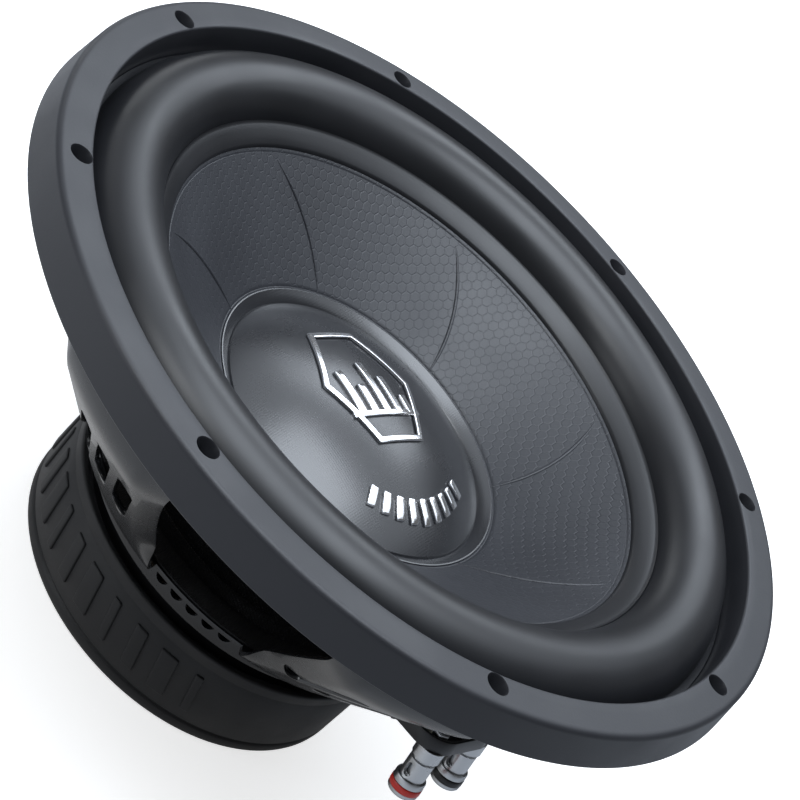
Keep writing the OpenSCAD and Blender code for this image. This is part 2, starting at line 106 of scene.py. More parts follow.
bpy.ops.mesh.primitive_plane_add(size=16, location=(0, 0, 0))
floor = bpy.context.object
floor.name = "studio_floor"
DRIVER_MIDDLE = (0, 0, 0.09)
COOL, SOFT_COOL = (0.84, 0.91, 1.0), (0.92, 0.96, 1.0)
for name, place, size, power, tint in (
        ("ceiling_box", (-0.1, 0.45, 2.2), (3.4, 3.4), 48, COOL),
        ("top_box", (0, 0, 2.2), (1.4, 1.4), 32, COOL),
        ("back_box", (-0.31, 1.78, 1.51), (1.2, 0.7), 9, COOL),
        ("back_left_box", (-0.85, 1.48, 1.63), (0.9, 0.7), 4.5, COOL),
        ("low_left_box", (-1.82, 1.53, 0.42), (1.0, 0.5), 3.4, SOFT_COOL),
        ("left_box", (-2.5, 0.5, 1.1), (1.0, 1.2), 2.4, SOFT_COOL),
        ("front_left_box", (-1.7, -1.9, 0.55), (0.7, 0.9), 8.5, SOFT_COOL),
        ("over_left_box", (-0.99, -1.18, 1.93), (0.9, 0.9), 14.5, SOFT_COOL)):
    soft_box(name, place, DRIVER_MIDDLE, size, power, tint)


# %% World and look
# The room is white where the camera sees it, past the edge of the floor, and gives
# the driver only a little light.
ROOM_LIGHT = 0.13
world = bpy.data.worlds.new("pale_room")
bpy.context.scene.world = world
world.use_nodes = True
tree = world.node_tree
background = tree.nodes["Background"]
background.inputs["Color"].default_value = (0.96, 0.98, 1, 1)
room_seen = tree.nodes.new("ShaderNodeLightPath").outputs["Is Camera Ray"]
room_strength = tree.nodes.new("ShaderNodeMath")
room_strength.operation = "MULTIPLY_ADD"
tree.links.new(room_seen, room_strength.inputs[0])
room_strength.inputs[1].default_value = 1 - ROOM_LIGHT
room_strength.inputs[2].default_value = ROOM_LIGHT
tree.links.new(room_strength.outputs[0], background.inputs["Strength"])
bpy.context.scene.view_settings.view_transform = "Standard"


# %% [markdown]
# ## Finishes
# Almost everything here is near black, so the finishes are told apart by grain, by
# how rough they are and by small relief. Effects that the finishes share are node
# groups: a fine grain with soft patches, a honeycomb and a weave. The shader itself
# stays in each material.

# %% Helpers for node groups
def start_group(name, inputs, outputs):
    """An empty shader group with named inputs and outputs."""
    group = bpy.data.node_groups.new(name, "ShaderNodeTree")
    for label, kind, value in inputs:
        socket = group.interface.new_socket(name=label, in_out="INPUT", socket_type=kind)
        if value is not None:
            socket.default_value = value
    for label, kind in outputs:
        group.interface.new_socket(name=label, in_out="OUTPUT", socket_type=kind)
    return group, group.nodes.new("NodeGroupInput"), group.nodes.new("NodeGroupOutput")


def feed(tree, socket, value):
    """Links a socket to another one, or gives it a plain value."""
    if isinstance(value, bpy.types.NodeSocket):
        tree.links.new(value, socket)
    else:
        socket.default_value = value


def calc(tree, operation, first, second=0.0, third=0.0):
    """One Math node; any operand may be a socket or a number."""
    node = tree.nodes.new("ShaderNodeMath")
    node.operation = operation
    for socket, value in zip(node.inputs, (first, second, third)):
        feed(tree, socket, value)
    return node.outputs[0]


def noise(tree, vector, scale, detail=2.0):
    """A noise pattern's value."""
    node = tree.nodes.new("ShaderNodeTexNoise")
    feed(tree, node.inputs["Vector"], vector)
    feed(tree, node.inputs["Scale"], scale)
    node.inputs["Detail"].default_value = detail
    return node.outputs["Fac"]


def spread(tree, value, low, high, low_out=0.0, high_out=1.0):
    """A Map Range node from one span of values to another."""
    node = tree.nodes.new("ShaderNodeMapRange")
    feed(tree, node.inputs["Value"], value)
    for label, amount in (("From Min", low), ("From Max", high),
                          ("To Min", low_out), ("To Max", high_out)):
        feed(tree, node.inputs[label], amount)
    return node.outputs["Result"]


def mix_colors(tree, factor, first, second):
    """A colour mix; any operand may be a socket or a plain value."""
    node = tree.nodes.new("ShaderNodeMix")
    node.data_type = "RGBA"
    sockets = [node.inputs[0]] + [socket for socket in node.inputs if socket.type == "RGBA"]
    for socket, value in zip(sockets, (factor, first, second)):
        feed(tree, socket, value)
    return [socket for socket in node.outputs if socket.type == "RGBA"][0]


# %% Group: grain with soft patches
VECTOR, FLOAT, COLOR = "NodeSocketVector", "NodeSocketFloat", "NodeSocketColor"
grain_group, entry, leave = start_group(
    "grain_and_patches",
    [("Vector", VECTOR, None), ("Grain Scale", FLOAT, 900.0), ("Patch Scale", FLOAT, 25.0),
     ("Dark", COLOR, None), ("Light", COLOR, None),
     ("Low Roughness", FLOAT, 0.4), ("High Roughness", FLOAT, 0.6)],
    [("Color", COLOR), ("Roughness", FLOAT), ("Height", FLOAT)])
grain = noise(grain_group, entry.outputs["Vector"], entry.outputs["Grain Scale"], 3.0)
patches = noise(grain_group, entry.outputs["Vector"], entry.outputs["Patch Scale"], 4.0)
patches = spread(grain_group, patches, 0.3, 0.7)
GRAIN_SHARE = 0.35
blend = calc(grain_group, "MULTIPLY_ADD", grain, GRAIN_SHARE,
             calc(grain_group, "MULTIPLY", patches, 1 - GRAIN_SHARE))
mixed = mix_colors(grain_group, blend, entry.outputs["Dark"], entry.outputs["Light"])
grain_group.links.new(mixed, leave.inputs["Color"])
rough = spread(grain_group, blend, 0.2, 0.8, entry.outputs["Low Roughness"],
               entry.outputs["High Roughness"])
grain_group.links.new(rough, leave.inputs["Roughness"])
grain_group.links.new(grain, leave.inputs["Height"])
print("group:", grain_group.name, len(grain_group.nodes), "nodes")

# %% Group: honeycomb lines
# Two square grids, one shifted by half a step, hold the middles of all the cells. The
# nearer middle wins, and the distance to the cell's edge gives the line.
honey_group, entry, leave = start_group(
    "honeycomb", [("Vector", VECTOR, None), ("Cell", FLOAT, 0.0035), ("Line", FLOAT, 0.1)],
    [("Height", FLOAT)])
parts = honey_group.nodes.new("ShaderNodeSeparateXYZ")
feed(honey_group, parts.inputs[0], entry.outputs["Vector"])
along = calc(honey_group, "DIVIDE", parts.outputs["X"], entry.outputs["Cell"])
across = calc(honey_group, "DIVIDE", parts.outputs["Y"], entry.outputs["Cell"])
ROOT3 = math.sqrt(3)


def cell_middle(shift):
    """How far a point is from the nearest middle of one of the grids."""
    x = calc(honey_group, "ADD", along, 0.5 * shift)
    y = calc(honey_group, "ADD", across, 0.5 * shift * ROOT3)
    x = calc(honey_group, "SUBTRACT", calc(honey_group, "FLOORED_MODULO", x, 1.0), 0.5)
    y = calc(honey_group, "SUBTRACT", calc(honey_group, "FLOORED_MODULO", y, ROOT3), 0.5 * ROOT3)
    x = calc(honey_group, "ABSOLUTE", x)
    y = calc(honey_group, "ABSOLUTE", y)
    half_x = calc(honey_group, "MULTIPLY", x, 0.5)
    slanted = calc(honey_group, "MULTIPLY_ADD", y, 0.5 * ROOT3, half_x)
    return calc(honey_group, "MAXIMUM", x, slanted)


reach = calc(honey_group, "MINIMUM", cell_middle(0), cell_middle(1))
edge = calc(honey_group, "SUBTRACT", 0.5, reach)
line = spread(honey_group, edge, 0.0, entry.outputs["Line"])
honey_group.links.new(line, leave.inputs["Height"])
print("group:", honey_group.name, len(honey_group.nodes), "nodes")

# %% Group: woven threads
weave_group, entry, leave = start_group(
    "weave", [("Vector", VECTOR, None), ("Thread", FLOAT, 0.0008)], [("Height", FLOAT)])
parts = weave_group.nodes.new("ShaderNodeSeparateXYZ")
feed(weave_group, parts.inputs[0], entry.outputs["Vector"])
turns = calc(weave_group, "DIVIDE", math.pi, entry.outputs["Thread"])
over = calc(weave_group, "SINE", calc(weave_group, "MULTIPLY", parts.outputs["X"], turns))
under = calc(weave_group, "SINE", calc(weave_group, "MULTIPLY", parts.outputs["Y"], turns))
height = calc(weave_group, "ABSOLUTE", calc(weave_group, "MULTIPLY", over, under))
weave_group.links.new(height, leave.inputs["Height"])
print("group:", weave_group.name, len(weave_group.nodes), "nodes")


# %% A material with grain, and optional relief
def finish_material(name, dark, light, roughness, grain_scale=900.0, patch_scale=25.0,
                    bump=0.2, bump_depth=0.0001, metallic=0.0, coat=0.0, relief=None,
                    specular=0.5):
    """A Principled material fed by the grain group.

    roughness is (low, high), and relief is (group, values, strength, depth).
    """
    material = bpy.data.materials.new(name + "_finish")
    material["slot"] = name
    material.use_nodes = True
    tree = material.node_tree
    shader = tree.nodes["Principled BSDF"]
    shader.inputs["Metallic"].default_value = metallic
    shader.inputs["Coat Weight"].default_value = coat
    shader.inputs["Specular IOR Level"].default_value = specular
    place = tree.nodes.new("ShaderNodeTexCoord").outputs["Object"]
    grained = tree.nodes.new("ShaderNodeGroup")
    grained.node_tree = grain_group
    tree.links.new(place, grained.inputs["Vector"])
    for label, value in (("Grain Scale", grain_scale), ("Patch Scale", patch_scale),
                         ("Dark", (*dark, 1)), ("Light", (*light, 1)),
                         ("Low Roughness", roughness[0]), ("High Roughness", roughness[1])):
        grained.inputs[label].default_value = value
    tree.links.new(grained.outputs["Color"], shader.inputs["Base Color"])
    tree.links.new(grained.outputs["Roughness"], shader.inputs["Roughness"])
    bumped = tree.nodes.new("ShaderNodeBump")
    bumped.inputs["Strength"].default_value = bump
    bumped.inputs["Distance"].default_value = bump_depth
    tree.links.new(grained.outputs["Height"], bumped.inputs["Height"])
    tree.links.new(bumped.outputs["Normal"], shader.inputs["Normal"])
    if relief:
        group, values, strength, depth = relief
        pattern = tree.nodes.new("ShaderNodeGroup")
        pattern.node_tree = group
        tree.links.new(place, pattern.inputs["Vector"])
        for label, value in values.items():
            pattern.inputs[label].default_value = value
        raised = tree.nodes.new("ShaderNodeBump")
        raised.inputs["Strength"].default_value = strength
        raised.inputs["Distance"].default_value = depth
        tree.links.new(pattern.outputs["Height"], raised.inputs["Height"])
        tree.links.new(bumped.outputs["Normal"], raised.inputs["Normal"])
        tree.links.new(raised.outputs["Normal"], shader.inputs["Normal"])
    return material


# %% Rubber, cone and paint
gasket_rubber = finish_material("gasket_rubber", (0.018, 0.019, 0.023), (0.026, 0.027, 0.032),
                                (0.42, 0.54), 1400, 30, 0.35, 0.00008)
surround_rubber = finish_material("surround_rubber", (0.008, 0.0085, 0.010),
                                  (0.012, 0.0125, 0.015), (0.34, 0.44), 1600, 22, 0.15, 0.00005)
cone_sheet = finish_material("cone_sheet", (0.020, 0.021, 0.025), (0.028, 0.030, 0.036),
                             (0.36, 0.5), 1500, 18, 0.25, 0.00006,
                             relief=(honey_group, {"Cell": 0.0036, "Line": 0.09}, 0.35, 0.00018))
cap_sheet = finish_material("cap_sheet", (0.010, 0.0105, 0.013), (0.014, 0.015, 0.018),
                            (0.22, 0.3), 1500, 20, 0.1, 0.00004, specular=0.85,
                            relief=(weave_group, {"Thread": 0.0009}, 0.2, 0.00006))
boot_rubber = finish_material("boot_rubber", (0.007, 0.0073, 0.0085), (0.012, 0.0125, 0.014),
                              (0.5, 0.68), 1200, 35, 0.3, 0.00008)
basket_paint = finish_material("basket_paint", (0.006, 0.0063, 0.0075), (0.010, 0.0105, 0.012),
                               (0.2, 0.3), 700, 30, 0.12, 0.00008, coat=0.25)
bracket_plastic = finish_material("bracket_plastic", (0.010, 0.010, 0.011),
                                  (0.014, 0.014, 0.015), (0.3, 0.42), 1100, 40, 0.15, 0.00006)
print("dark finishes made")

# %% Metals, paper and cloth
badge_chrome = finish_material("badge_chrome", (0.80, 0.81, 0.83), (0.90, 0.90, 0.92),
                               (0.1, 0.2), 900, 60, 0.04, 0.00003, metallic=1.0)
post_chrome = finish_material("post_chrome", (0.52, 0.53, 0.54), (0.62, 0.63, 0.64),
                              (0.26, 0.36), 1200, 80, 0.03, 0.00002, metallic=1.0)
plate_black = finish_material("plate_black", (0.02, 0.02, 0.022), (0.035, 0.035, 0.038),
                              (0.32, 0.5), 800, 40, 0.15, 0.00006, metallic=0.6)
ferrite = finish_material("ferrite", (0.03, 0.03, 0.033), (0.055, 0.055, 0.06),
                          (0.5, 0.75), 500, 30, 0.4, 0.0001)
steel_screen = finish_material("steel_screen", (0.16, 0.16, 0.17), (0.26, 0.26, 0.27),
                               (0.3, 0.5), 900, 50, 0.1, 0.00004, metallic=1.0)
screw_zinc = finish_material("screw_zinc", (0.45, 0.45, 0.46), (0.6, 0.6, 0.58),
                             (0.25, 0.42), 900, 90, 0.1, 0.00004, metallic=1.0)
tag_tin = finish_material("tag_tin", (0.55, 0.53, 0.46), (0.7, 0.68, 0.6),
                          (0.25, 0.4), 900, 90, 0.1, 0.00004, metallic=1.0)
spring_steel = finish_material("spring_steel", (0.4, 0.4, 0.41), (0.55, 0.55, 0.56),
                               (0.2, 0.35), 900, 90, 0.05, 0.00003, metallic=1.0)
copper_wire = finish_material("copper_wire", (0.42, 0.15, 0.06), (0.62, 0.25, 0.1),
                              (0.25, 0.4), 900, 60, 0.1, 0.00004, metallic=1.0)
lead_braid = finish_material("lead_braid", (0.36, 0.2, 0.09), (0.6, 0.36, 0.18),
                             (0.3, 0.5), 2500, 120, 0.5, 0.0001, metallic=0.9)
former_paper = finish_material("former_paper", (0.25, 0.17, 0.09), (0.34, 0.25, 0.14),
                               (0.45, 0.65), 900, 40, 0.3, 0.0001)
spider_cloth = finish_material("spider_cloth", (0.010, 0.010, 0.011), (0.018, 0.018, 0.019),
                               (0.6, 0.85), 900, 30, 0.3, 0.0001,
                               relief=(weave_group, {"Thread": 0.0008}, 0.7, 0.0003))
band_red = finish_material("band_red", (0.62, 0.025, 0.015), (0.8, 0.05, 0.035),
                           (0.25, 0.4), 1500, 200, 0.1, 0.00004)
band_black = finish_material("band_black", (0.008, 0.008, 0.008), (0.014, 0.014, 0.014),
                             (0.25, 0.4), 1500, 200, 0.1, 0.00004)
print("light finishes made")

# %% Floor finish
# The camera sees a white floor. The driver sees a grey one, so that its dark parts
# aren't washed out from below, with a lit patch near its left side, like acrylic
# with a lamp under it, that shows in the boot and the basket.
CAMERA_GLOW = 0.7
PATCH_GLOW, PATCH_INNER, PATCH_OUTER = 0.6, 0.15, 0.45
PATCH_OFFSET = (0.2, 0.13, 0)
GREY = (0.36, 0.37, 0.39, 1)
studio_white = finish_material("studio_white", (0.86, 0.86, 0.86), (0.92, 0.92, 0.92),
                               (0.7, 0.8), 3, 0.5, 0.0, 0.0001)
tree = studio_white.node_tree
shader = tree.nodes["Principled BSDF"]
ray = tree.nodes.new("ShaderNodeLightPath").outputs["Is Camera Ray"]
shifted = tree.nodes.new("ShaderNodeVectorMath")
feed(tree, shifted.inputs[0], tree.nodes.new("ShaderNodeTexCoord").outputs["Object"])
shifted.inputs[1].default_value = PATCH_OFFSET
away = tree.nodes.new("ShaderNodeVectorMath")
away.operation = "LENGTH"
feed(tree, away.inputs[0], shifted.outputs["Vector"])
patch = spread(tree, away.outputs["Value"], PATCH_INNER, PATCH_OUTER, PATCH_GLOW, 0.0)
feed(tree, shader.inputs["Emission Color"], mix_colors(tree, ray, patch, (1, 1, 1, 1)))
shader.inputs["Emission Strength"].default_value = CAMERA_GLOW
pale = shader.inputs["Base Color"].links[0].from_socket
feed(tree, shader.inputs["Base Color"], mix_colors(tree, ray, GREY, pale))
floor.data.materials.append(studio_white)
print("materials:", len(bpy.data.materials))


# %% [markdown]
# ## A lathe for the round parts
# Most of a loudspeaker is turned. By hand, one would draw half of the section as a chain of
# corners with Extrude, and then Spin it round the axis. The helper below does just that,
# and sizes are given in millimetres because that is how a drawing reads.

# %% Lathe helpers
MM = 0.001
AXIS = (0, 0, 1)


def deselect_all():
    """Object mode, with nothing selected."""
    if bpy.context.object and bpy.context.object.mode != "OBJECT":
        bpy.ops.object.mode_set(mode="OBJECT")
    bpy.ops.object.select_all(action="DESELECT")


def take(piece):
    """Selects one piece and makes it the active one."""
    deselect_all()
    piece.select_set(True)
    bpy.context.view_layer.objects.active = piece


def apply_transform():
    """Moves the active piece's place, turn and scale into its mesh."""
    bpy.ops.object.transform_apply(location=True, rotation=True, scale=True)


def shade_smooth(angle):
    """Smooth shading on the active piece, up to an angle in degrees."""
    bpy.ops.object.shade_smooth_by_angle(angle=math.radians(angle))


def arc(middle, radius, start, end, count):
    """Corners along an arc, angles in degrees."""
    return [(middle[0] + radius * math.cos(math.radians(start + (end - start) * i / count)),
             middle[1] + radius * math.sin(math.radians(start + (end - start) * i / count)))
            for i in range(count + 1)]


def draw_section(name, section, closed=True):
    """A chain of corners in the XZ plane, extruded one after another."""
    deselect_all()
    radius, height = section[0]
    bpy.ops.mesh.primitive_plane_add(size=MM, location=(radius * MM, 0, height * MM))
    piece = bpy.context.object
    piece.name = piece.data.name = name
    apply_transform()
    bpy.ops.object.mode_set(mode="EDIT")
    bpy.ops.mesh.select_all(action="SELECT")
    bpy.ops.mesh.merge(type="CENTER")
    for before, after in zip(section, section[1:] + (section[:1] if closed else [])):
        step = ((after[0] - before[0]) * MM, 0, (after[1] - before[1]) * MM)
        bpy.ops.mesh.extrude_vertices_move(TRANSFORM_OT_translate={"value": step})
    return piece


def turn(name, section, steps=240, closed=True, smooth=35):
    """Spins a section once round the axis and closes it."""
    piece = draw_section(name, section, closed)
    bpy.ops.mesh.select_all(action="SELECT")
    bpy.ops.mesh.spin(steps=steps, angle=2 * math.pi, center=(0, 0, 0), axis=AXIS)
    bpy.ops.mesh.select_all(action="SELECT")
    bpy.ops.mesh.remove_doubles(threshold=1e-6)
    bpy.ops.mesh.normals_make_consistent(inside=False)
    bpy.ops.object.mode_set(mode="OBJECT")
    shade_smooth(smooth)
    return piece


def settle(piece, body, material, *nodes):
    """Gives a piece its finish and its body, and hides the nodes that it stands for."""
    piece.data.materials.clear()
    piece.data.materials.append(material)
    if body:
        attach(piece, body)
    if nodes:
        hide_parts(*nodes)
    print(piece.name, len(piece.data.polygons), "faces")


def cut_away(piece, cutter):
    """Takes a closed cutter out of a closed piece."""
    take(piece)
    bite = piece.modifiers.new("cut", "BOOLEAN")
    bite.operation = "DIFFERENCE"
    bite.solver = "EXACT"
    bite.object = cutter
    bpy.ops.object.modifier_apply(modifier=bite.name)
    bpy.data.objects.remove(cutter)


def join(name, pieces):
    """Several pieces as one mesh."""
    take(pieces[0])
    for piece in pieces[1:]:
        piece.select_set(True)
    bpy.ops.object.join()
    joined = bpy.context.object
    joined.name = joined.data.name = name
    return joined


def copy_round(piece, angles):
    """The piece and its copies, turned round the axis, as one mesh each."""
    copies = []
    for angle in angles:
        copy = piece.copy()
        copy.data = piece.data.copy()
        bpy.context.collection.objects.link(copy)
        copy.rotation_euler = (0, 0, math.radians(angle))
        take(copy)
        apply_transform()
        copies.append(copy)
    bpy.data.objects.remove(piece)
    return copies


def round_edges(piece, width, segments=2, angle=40):
    """A small bevel on the sharp edges, applied."""
    take(piece)
    bevel = piece.modifiers.new("edges", "BEVEL")
    bevel.width = width * MM
    bevel.segments = segments
    bevel.limit_method = "ANGLE"
    bevel.angle_limit = math.radians(angle)
    bevel.harden_normals = False
    bpy.ops.object.modifier_apply(modifier=bevel.name)


# %% [markdown]
# ## Trim gasket
# A thick moulded rubber ring covers the screws' flange. It leans in a little towards
# its face, and its outer corner is rounded. The eight screw holes are cut with
# pins that widen at the top, which leaves the small soft lip that a mould leaves.

# %% Trim gasket
HOLE_CIRCLE = 147.0
gasket_section = ([(142.4, 134.02), (157.2, 134.02), (157.5, 134.4), (157.42, 135.3),
                   (155.6, 146.8)]
                  + arc((153.4, 146.8), 2.2, 8, 82, 6)
                  + [(153.0, 149.0), (146.5, 149.0)]
                  + arc((143.3, 148.1), 0.9, 90, 180, 4))
trim_gasket = turn("trim_gasket_ring", gasket_section, 288, smooth=30)
hole_pin = turn("hole_pin", [(0, 133), (3.9, 133), (3.9, 148.4), (4.25, 149.2), (0, 149.2)], 40)
hole_pin.location = (HOLE_CIRCLE * MM, 0, 0)
take(hole_pin)
apply_transform()
cut_away(trim_gasket, join("hole_pins", copy_round(hole_pin, [45 * k for k in range(8)])))
take(trim_gasket)
shade_smooth(30)
settle(trim_gasket, "frame", gasket_rubber, "trim_gasket")

# %% [markdown]
# ## Surround
# The half roll joins the cone to the flange and lets it move. It is one moulding of
# even thickness with a flat lip on each side. Its section is drawn once round: over the
# top, round the inner lip, and back underneath.

# %% Surround
CONE_SLOPE = 0.68


def cone_face(radius):
    """Height of the cone's front face."""
    return 102.2 + (radius - 59.8) * CONE_SLOPE


ROLL_MIDDLE = (124.3, 134.6)
roll_over = arc(ROLL_MIDDLE, 15.0, 10, 171, 44)
roll_under = arc(ROLL_MIDDLE, 13.7, 172, 8, 40)
surround_section = (
    [(142.2, 134.05), (142.2, 135.0), (142.0, 135.2), (140.6, 135.25), (139.6, 135.7)] + roll_over
    + [(109.15, cone_face(109.15) + 1.55), (108.7, cone_face(108.7) + 1.15),
       (108.2, cone_face(108.2) + 1.3), (106.5, cone_face(106.5) + 1.45),
       (104.5, cone_face(104.5) + 1.4), (102.6, cone_face(102.6) + 1.2),
       (102.05, cone_face(102.05) + 0.95), (101.9, cone_face(101.9) + 0.1),
       (106, cone_face(106) + 0.1), (109.6, cone_face(109.6) + 0.1),
       (110.6, cone_face(110.6) + 0.4)]
    + roll_under[2:] + [(138.2, 135.3), (137.9, 134.05)])
surround = turn("half_roll_surround", surround_section, 288, smooth=40)


def radial_blend(piece):
    """Moves the piece's place, turn and scale into its mesh."""
    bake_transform(piece)


settle(surround, None, surround_rubber, "surround")
radial_blend(surround)

# %% [markdown]
# ## Cone
# The cone is pressed from a thin sheet with a straight flank. Seven thin ribs curve
# outwards over it like the arms of a windmill. Each rib is a tapered tube along a
# curve, sunk so far into the sheet that a low rounded ridge is left.

# %% Cone sheet
cone_section = (
    [(31.5, 79.0), (33.2, 79.0), (33.3, cone_face(33.2) - 1.7)]
    + [(r, cone_face(r) - 1.7) for r in (50, 70, 90, 108.8)] + [(109.5, cone_face(109.5) - 1.5)]
    + [(109.5, cone_face(109.5) - 0.3), (109.2, cone_face(109.2))]
    + [(r, cone_face(r)) for r in (101.4, 101.1)] + [(100.8, cone_face(100.8) - 0.25)]
    + [(100.5, cone_face(100.5)), (100.2, cone_face(100.2))]
    + [(r, cone_face(r)) for r in (96, 90, 80, 70, 62)]
    + [(61.2, cone_face(61.2)), (60.9, cone_face(60.9) - 0.25), (60.6, cone_face(60.6))]
    + [(r, cone_face(r)) for r in (58, 45, 33.6)] + [(31.5, cone_face(33.4))])
cone = turn("cone_sheet_body", cone_section, 288, smooth=35)
settle(cone, "cone", cone_sheet, "cone")


# %% Cone ribs
def tube(name, path, radii, bevel=0.8, resolution=3):
    """A round tube along a path in millimetres, with its own thickness at each point."""
    deselect_all()
    bpy.ops.curve.primitive_nurbs_path_add()
    wire = bpy.context.object
    wire.name = name
    wire.data.splines.clear()
    spline = wire.data.splines.new("POLY")
    spline.points.add(len(path) - 1)
    for point, place, radius in zip(spline.points, path, radii):
        point.co = (place[0] * MM, place[1] * MM, place[2] * MM, 1)
        point.radius = radius
    wire.data.dimensions = "3D"
    wire.data.bevel_depth = bevel * MM
    wire.data.bevel_resolution = resolution
    wire.data.use_fill_caps = True
    take(wire)
    bpy.ops.object.convert(target="MESH")
    apply_transform()
    bpy.ops.object.mode_set(mode="EDIT")
    bpy.ops.mesh.select_all(action="SELECT")
    bpy.ops.mesh.remove_doubles(threshold=1e-7)
    bpy.ops.mesh.normals_make_consistent(inside=False)
    bpy.ops.object.mode_set(mode="OBJECT")
    shade_smooth(50)
    return bpy.context.object


RIB_START, RIB_END, RIB_SWEEP = 60.3, 99.0, 17.5
rib_path, rib_radii = [], []
for i in range(33):
    t = i / 32
    r = RIB_START + (RIB_END - RIB_START) * t
    turned = math.radians(RIB_SWEEP * (0.62 * t + 0.38 * t * t))
    rib_path.append((r * math.cos(turned), r * math.sin(turned), cone_face(r) - 0.28))
    rib_radii.append(0.35 + 0.65 * min(1, 4 * t, 4.5 * (1 - t)) ** 0.7)
rib = tube("rib", rib_path, rib_radii, 0.75)
cone_ribs = join("cone_ribs", copy_round(rib, [45 + 360 / 7 * k for k in range(7)]))
settle(cone_ribs, "cone", cone_sheet)

# %% [markdown]
# ## Dust cap
# A low dome closes the middle of the cone. Its flat rim is glued to the cone and shows
# as a thin ring round the dome, with a fine groove between the two.

# %% Dust cap
BALL_RADIUS, BALL_HEIGHT = 111.56, 3.24


def on_ball(radius, above=0.0):
    """Height of the dome at a distance from the axis."""
    return BALL_HEIGHT + math.sqrt((BALL_RADIUS + above) ** 2 - radius ** 2)


cap_section = (
    [(59.9, cone_face(59.9) + 0.05), (59.95, cone_face(59.9) + 0.55),
     (59.5, cone_face(59.5) + 0.85), (58.0, cone_face(58.0) + 0.95),
     (56.2, cone_face(56.2) + 1.0), (55.5, cone_face(55.5) + 0.85),
     (55.15, cone_face(55.15) + 0.75), (54.8, on_ball(54.8))]
    + [(r, on_ball(r)) for r in (54.2, 53, 50, 46, 42, 38, 34, 30, 26, 22, 18, 14, 10, 6, 3, 0)]
    + [(r, on_ball(r, -1.0)) for r in (0, 10, 20, 30, 40, 48, 53.6)]
    + [(54.6, cone_face(54.6) + 0.1)])
dust_cap = turn("dust_cap_dome", cap_section, 240, smooth=28)
settle(dust_cap, "cone", cap_sheet, "dust_cap")


# %% [markdown]
# ## Badge
# The maker's sign is left off. A plain six sided frame with five level bars, and
# a row of ticks below it, fill the same place with the same bright plating. They are
# drawn flat, cut into small faces, and laid over the dome.

# %% Badge and ticks
BADGE_TURN = 165


def lay_on_dome(piece):
    """Bends a flat piece over the dome: each point keeps its height above the dome."""
    for vertex in piece.data.vertices:
        radius = math.hypot(vertex.co.x, vertex.co.y) / MM
        vertex.co.z += on_ball(radius) * MM


def bright_bar(name, middle, size, height=1.2, cuts=5):
    """A bar with eased edges, ready to be bent."""
    deselect_all()
    place = (middle[0] * MM, middle[1] * MM, (height / 2 - 0.1) * MM)
    bpy.ops.mesh.primitive_cube_add(size=1, location=place)
    bar = bpy.context.object
    bar.name = name
    bar.scale = (size[0] * MM, size[1] * MM, (height + 0.2) * MM)
    apply_transform()
    bpy.ops.object.mode_set(mode="EDIT")
    bpy.ops.mesh.select_all(action="SELECT")
    bpy.ops.mesh.bevel(offset=0.42 * MM, segments=2, affect="EDGES")
    bpy.ops.mesh.select_all(action="SELECT")
    bpy.ops.mesh.subdivide(number_cuts=cuts)
    bpy.ops.object.mode_set(mode="OBJECT")
    return bar


deselect_all()
bpy.ops.mesh.primitive_circle_add(vertices=6, radius=1, fill_type="NGON", location=(0, 0, 0))
hex_frame = bpy.context.object
hex_frame.scale = (29 * MM, 23.09 * MM, MM)
apply_transform()
bpy.ops.object.mode_set(mode="EDIT")
bpy.ops.mesh.select_all(action="SELECT")
bpy.ops.mesh.inset(thickness=2.4 * MM)
bpy.ops.mesh.delete(type="FACE")
bpy.ops.mesh.select_all(action="SELECT")
bpy.ops.mesh.extrude_region_move(TRANSFORM_OT_translate={"value": (0, 0, 1.25 * MM)})
bpy.ops.mesh.select_all(action="SELECT")
bpy.ops.mesh.normals_make_consistent(inside=False)
bpy.ops.mesh.bevel(offset=0.42 * MM, segments=2, affect="EDGES")
bpy.ops.mesh.select_all(action="SELECT")
bpy.ops.mesh.subdivide(number_cuts=6)
bpy.ops.object.mode_set(mode="OBJECT")
bars = [hex_frame, bright_bar("spine", (-13.3, 0), (2.4, 35.4), cuts=8)]
for k, length in enumerate((10, 20, 28, 16, 24)):
    bars.append(bright_bar("bar", (-14 + length * 0.41, -12.8 + 6.4 * k), (length * 0.82, 3.6)))
cap_badge = join("cap_badge_plate", bars)
cap_badge.data.transform(Matrix.Rotation(math.radians(BADGE_TURN), 4, "Z")
                         @ Matrix.Translation((9 * MM, 0, 0)))
lay_on_dome(cap_badge)
take(cap_badge)
shade_smooth(25)
settle(cap_badge, "cone", badge_chrome, "cap_badge")

ticks = []
for k in range(-4, 5):
    tick = bright_bar("tick", (41.5 - abs(k) * 0.25, 0), (9 - abs(k) * 0.5, 3.4), cuts=2)
    tick.rotation_euler = (0, 0, math.radians(8.6 * k - 15))
    take(tick)
    apply_transform()
    ticks.append(tick)
badge_ticks = join("badge_ticks_row", ticks)
lay_on_dome(badge_ticks)
take(badge_ticks)
shade_smooth(25)
settle(badge_ticks, "cone", badge_chrome, "badge_ticks")

# %% [markdown]
# ## Basket
# The basket is one pressing: a flat ring for the motor, a foot with vents, a ledge
# for the spider, six bulged panels between six windows, and the flange. It
# repeats six times, so one sixth is spun, its window is taken out, and its panel edges
# are rolled in. The wall thickness, the copies and all the holes come after that.

# %% One sixth of the basket
SECTOR_STEPS = 84
WINDOW_HALF = 360 / 6 / SECTOR_STEPS * 20
WALL_FOOT, WALL_TOP = (84.8, 55.2), (138.5, 113.0)
FLANK_SHARE, FLANK_DEPTH, WINDOW_BULGE = 0.38, 6.0, 1.8


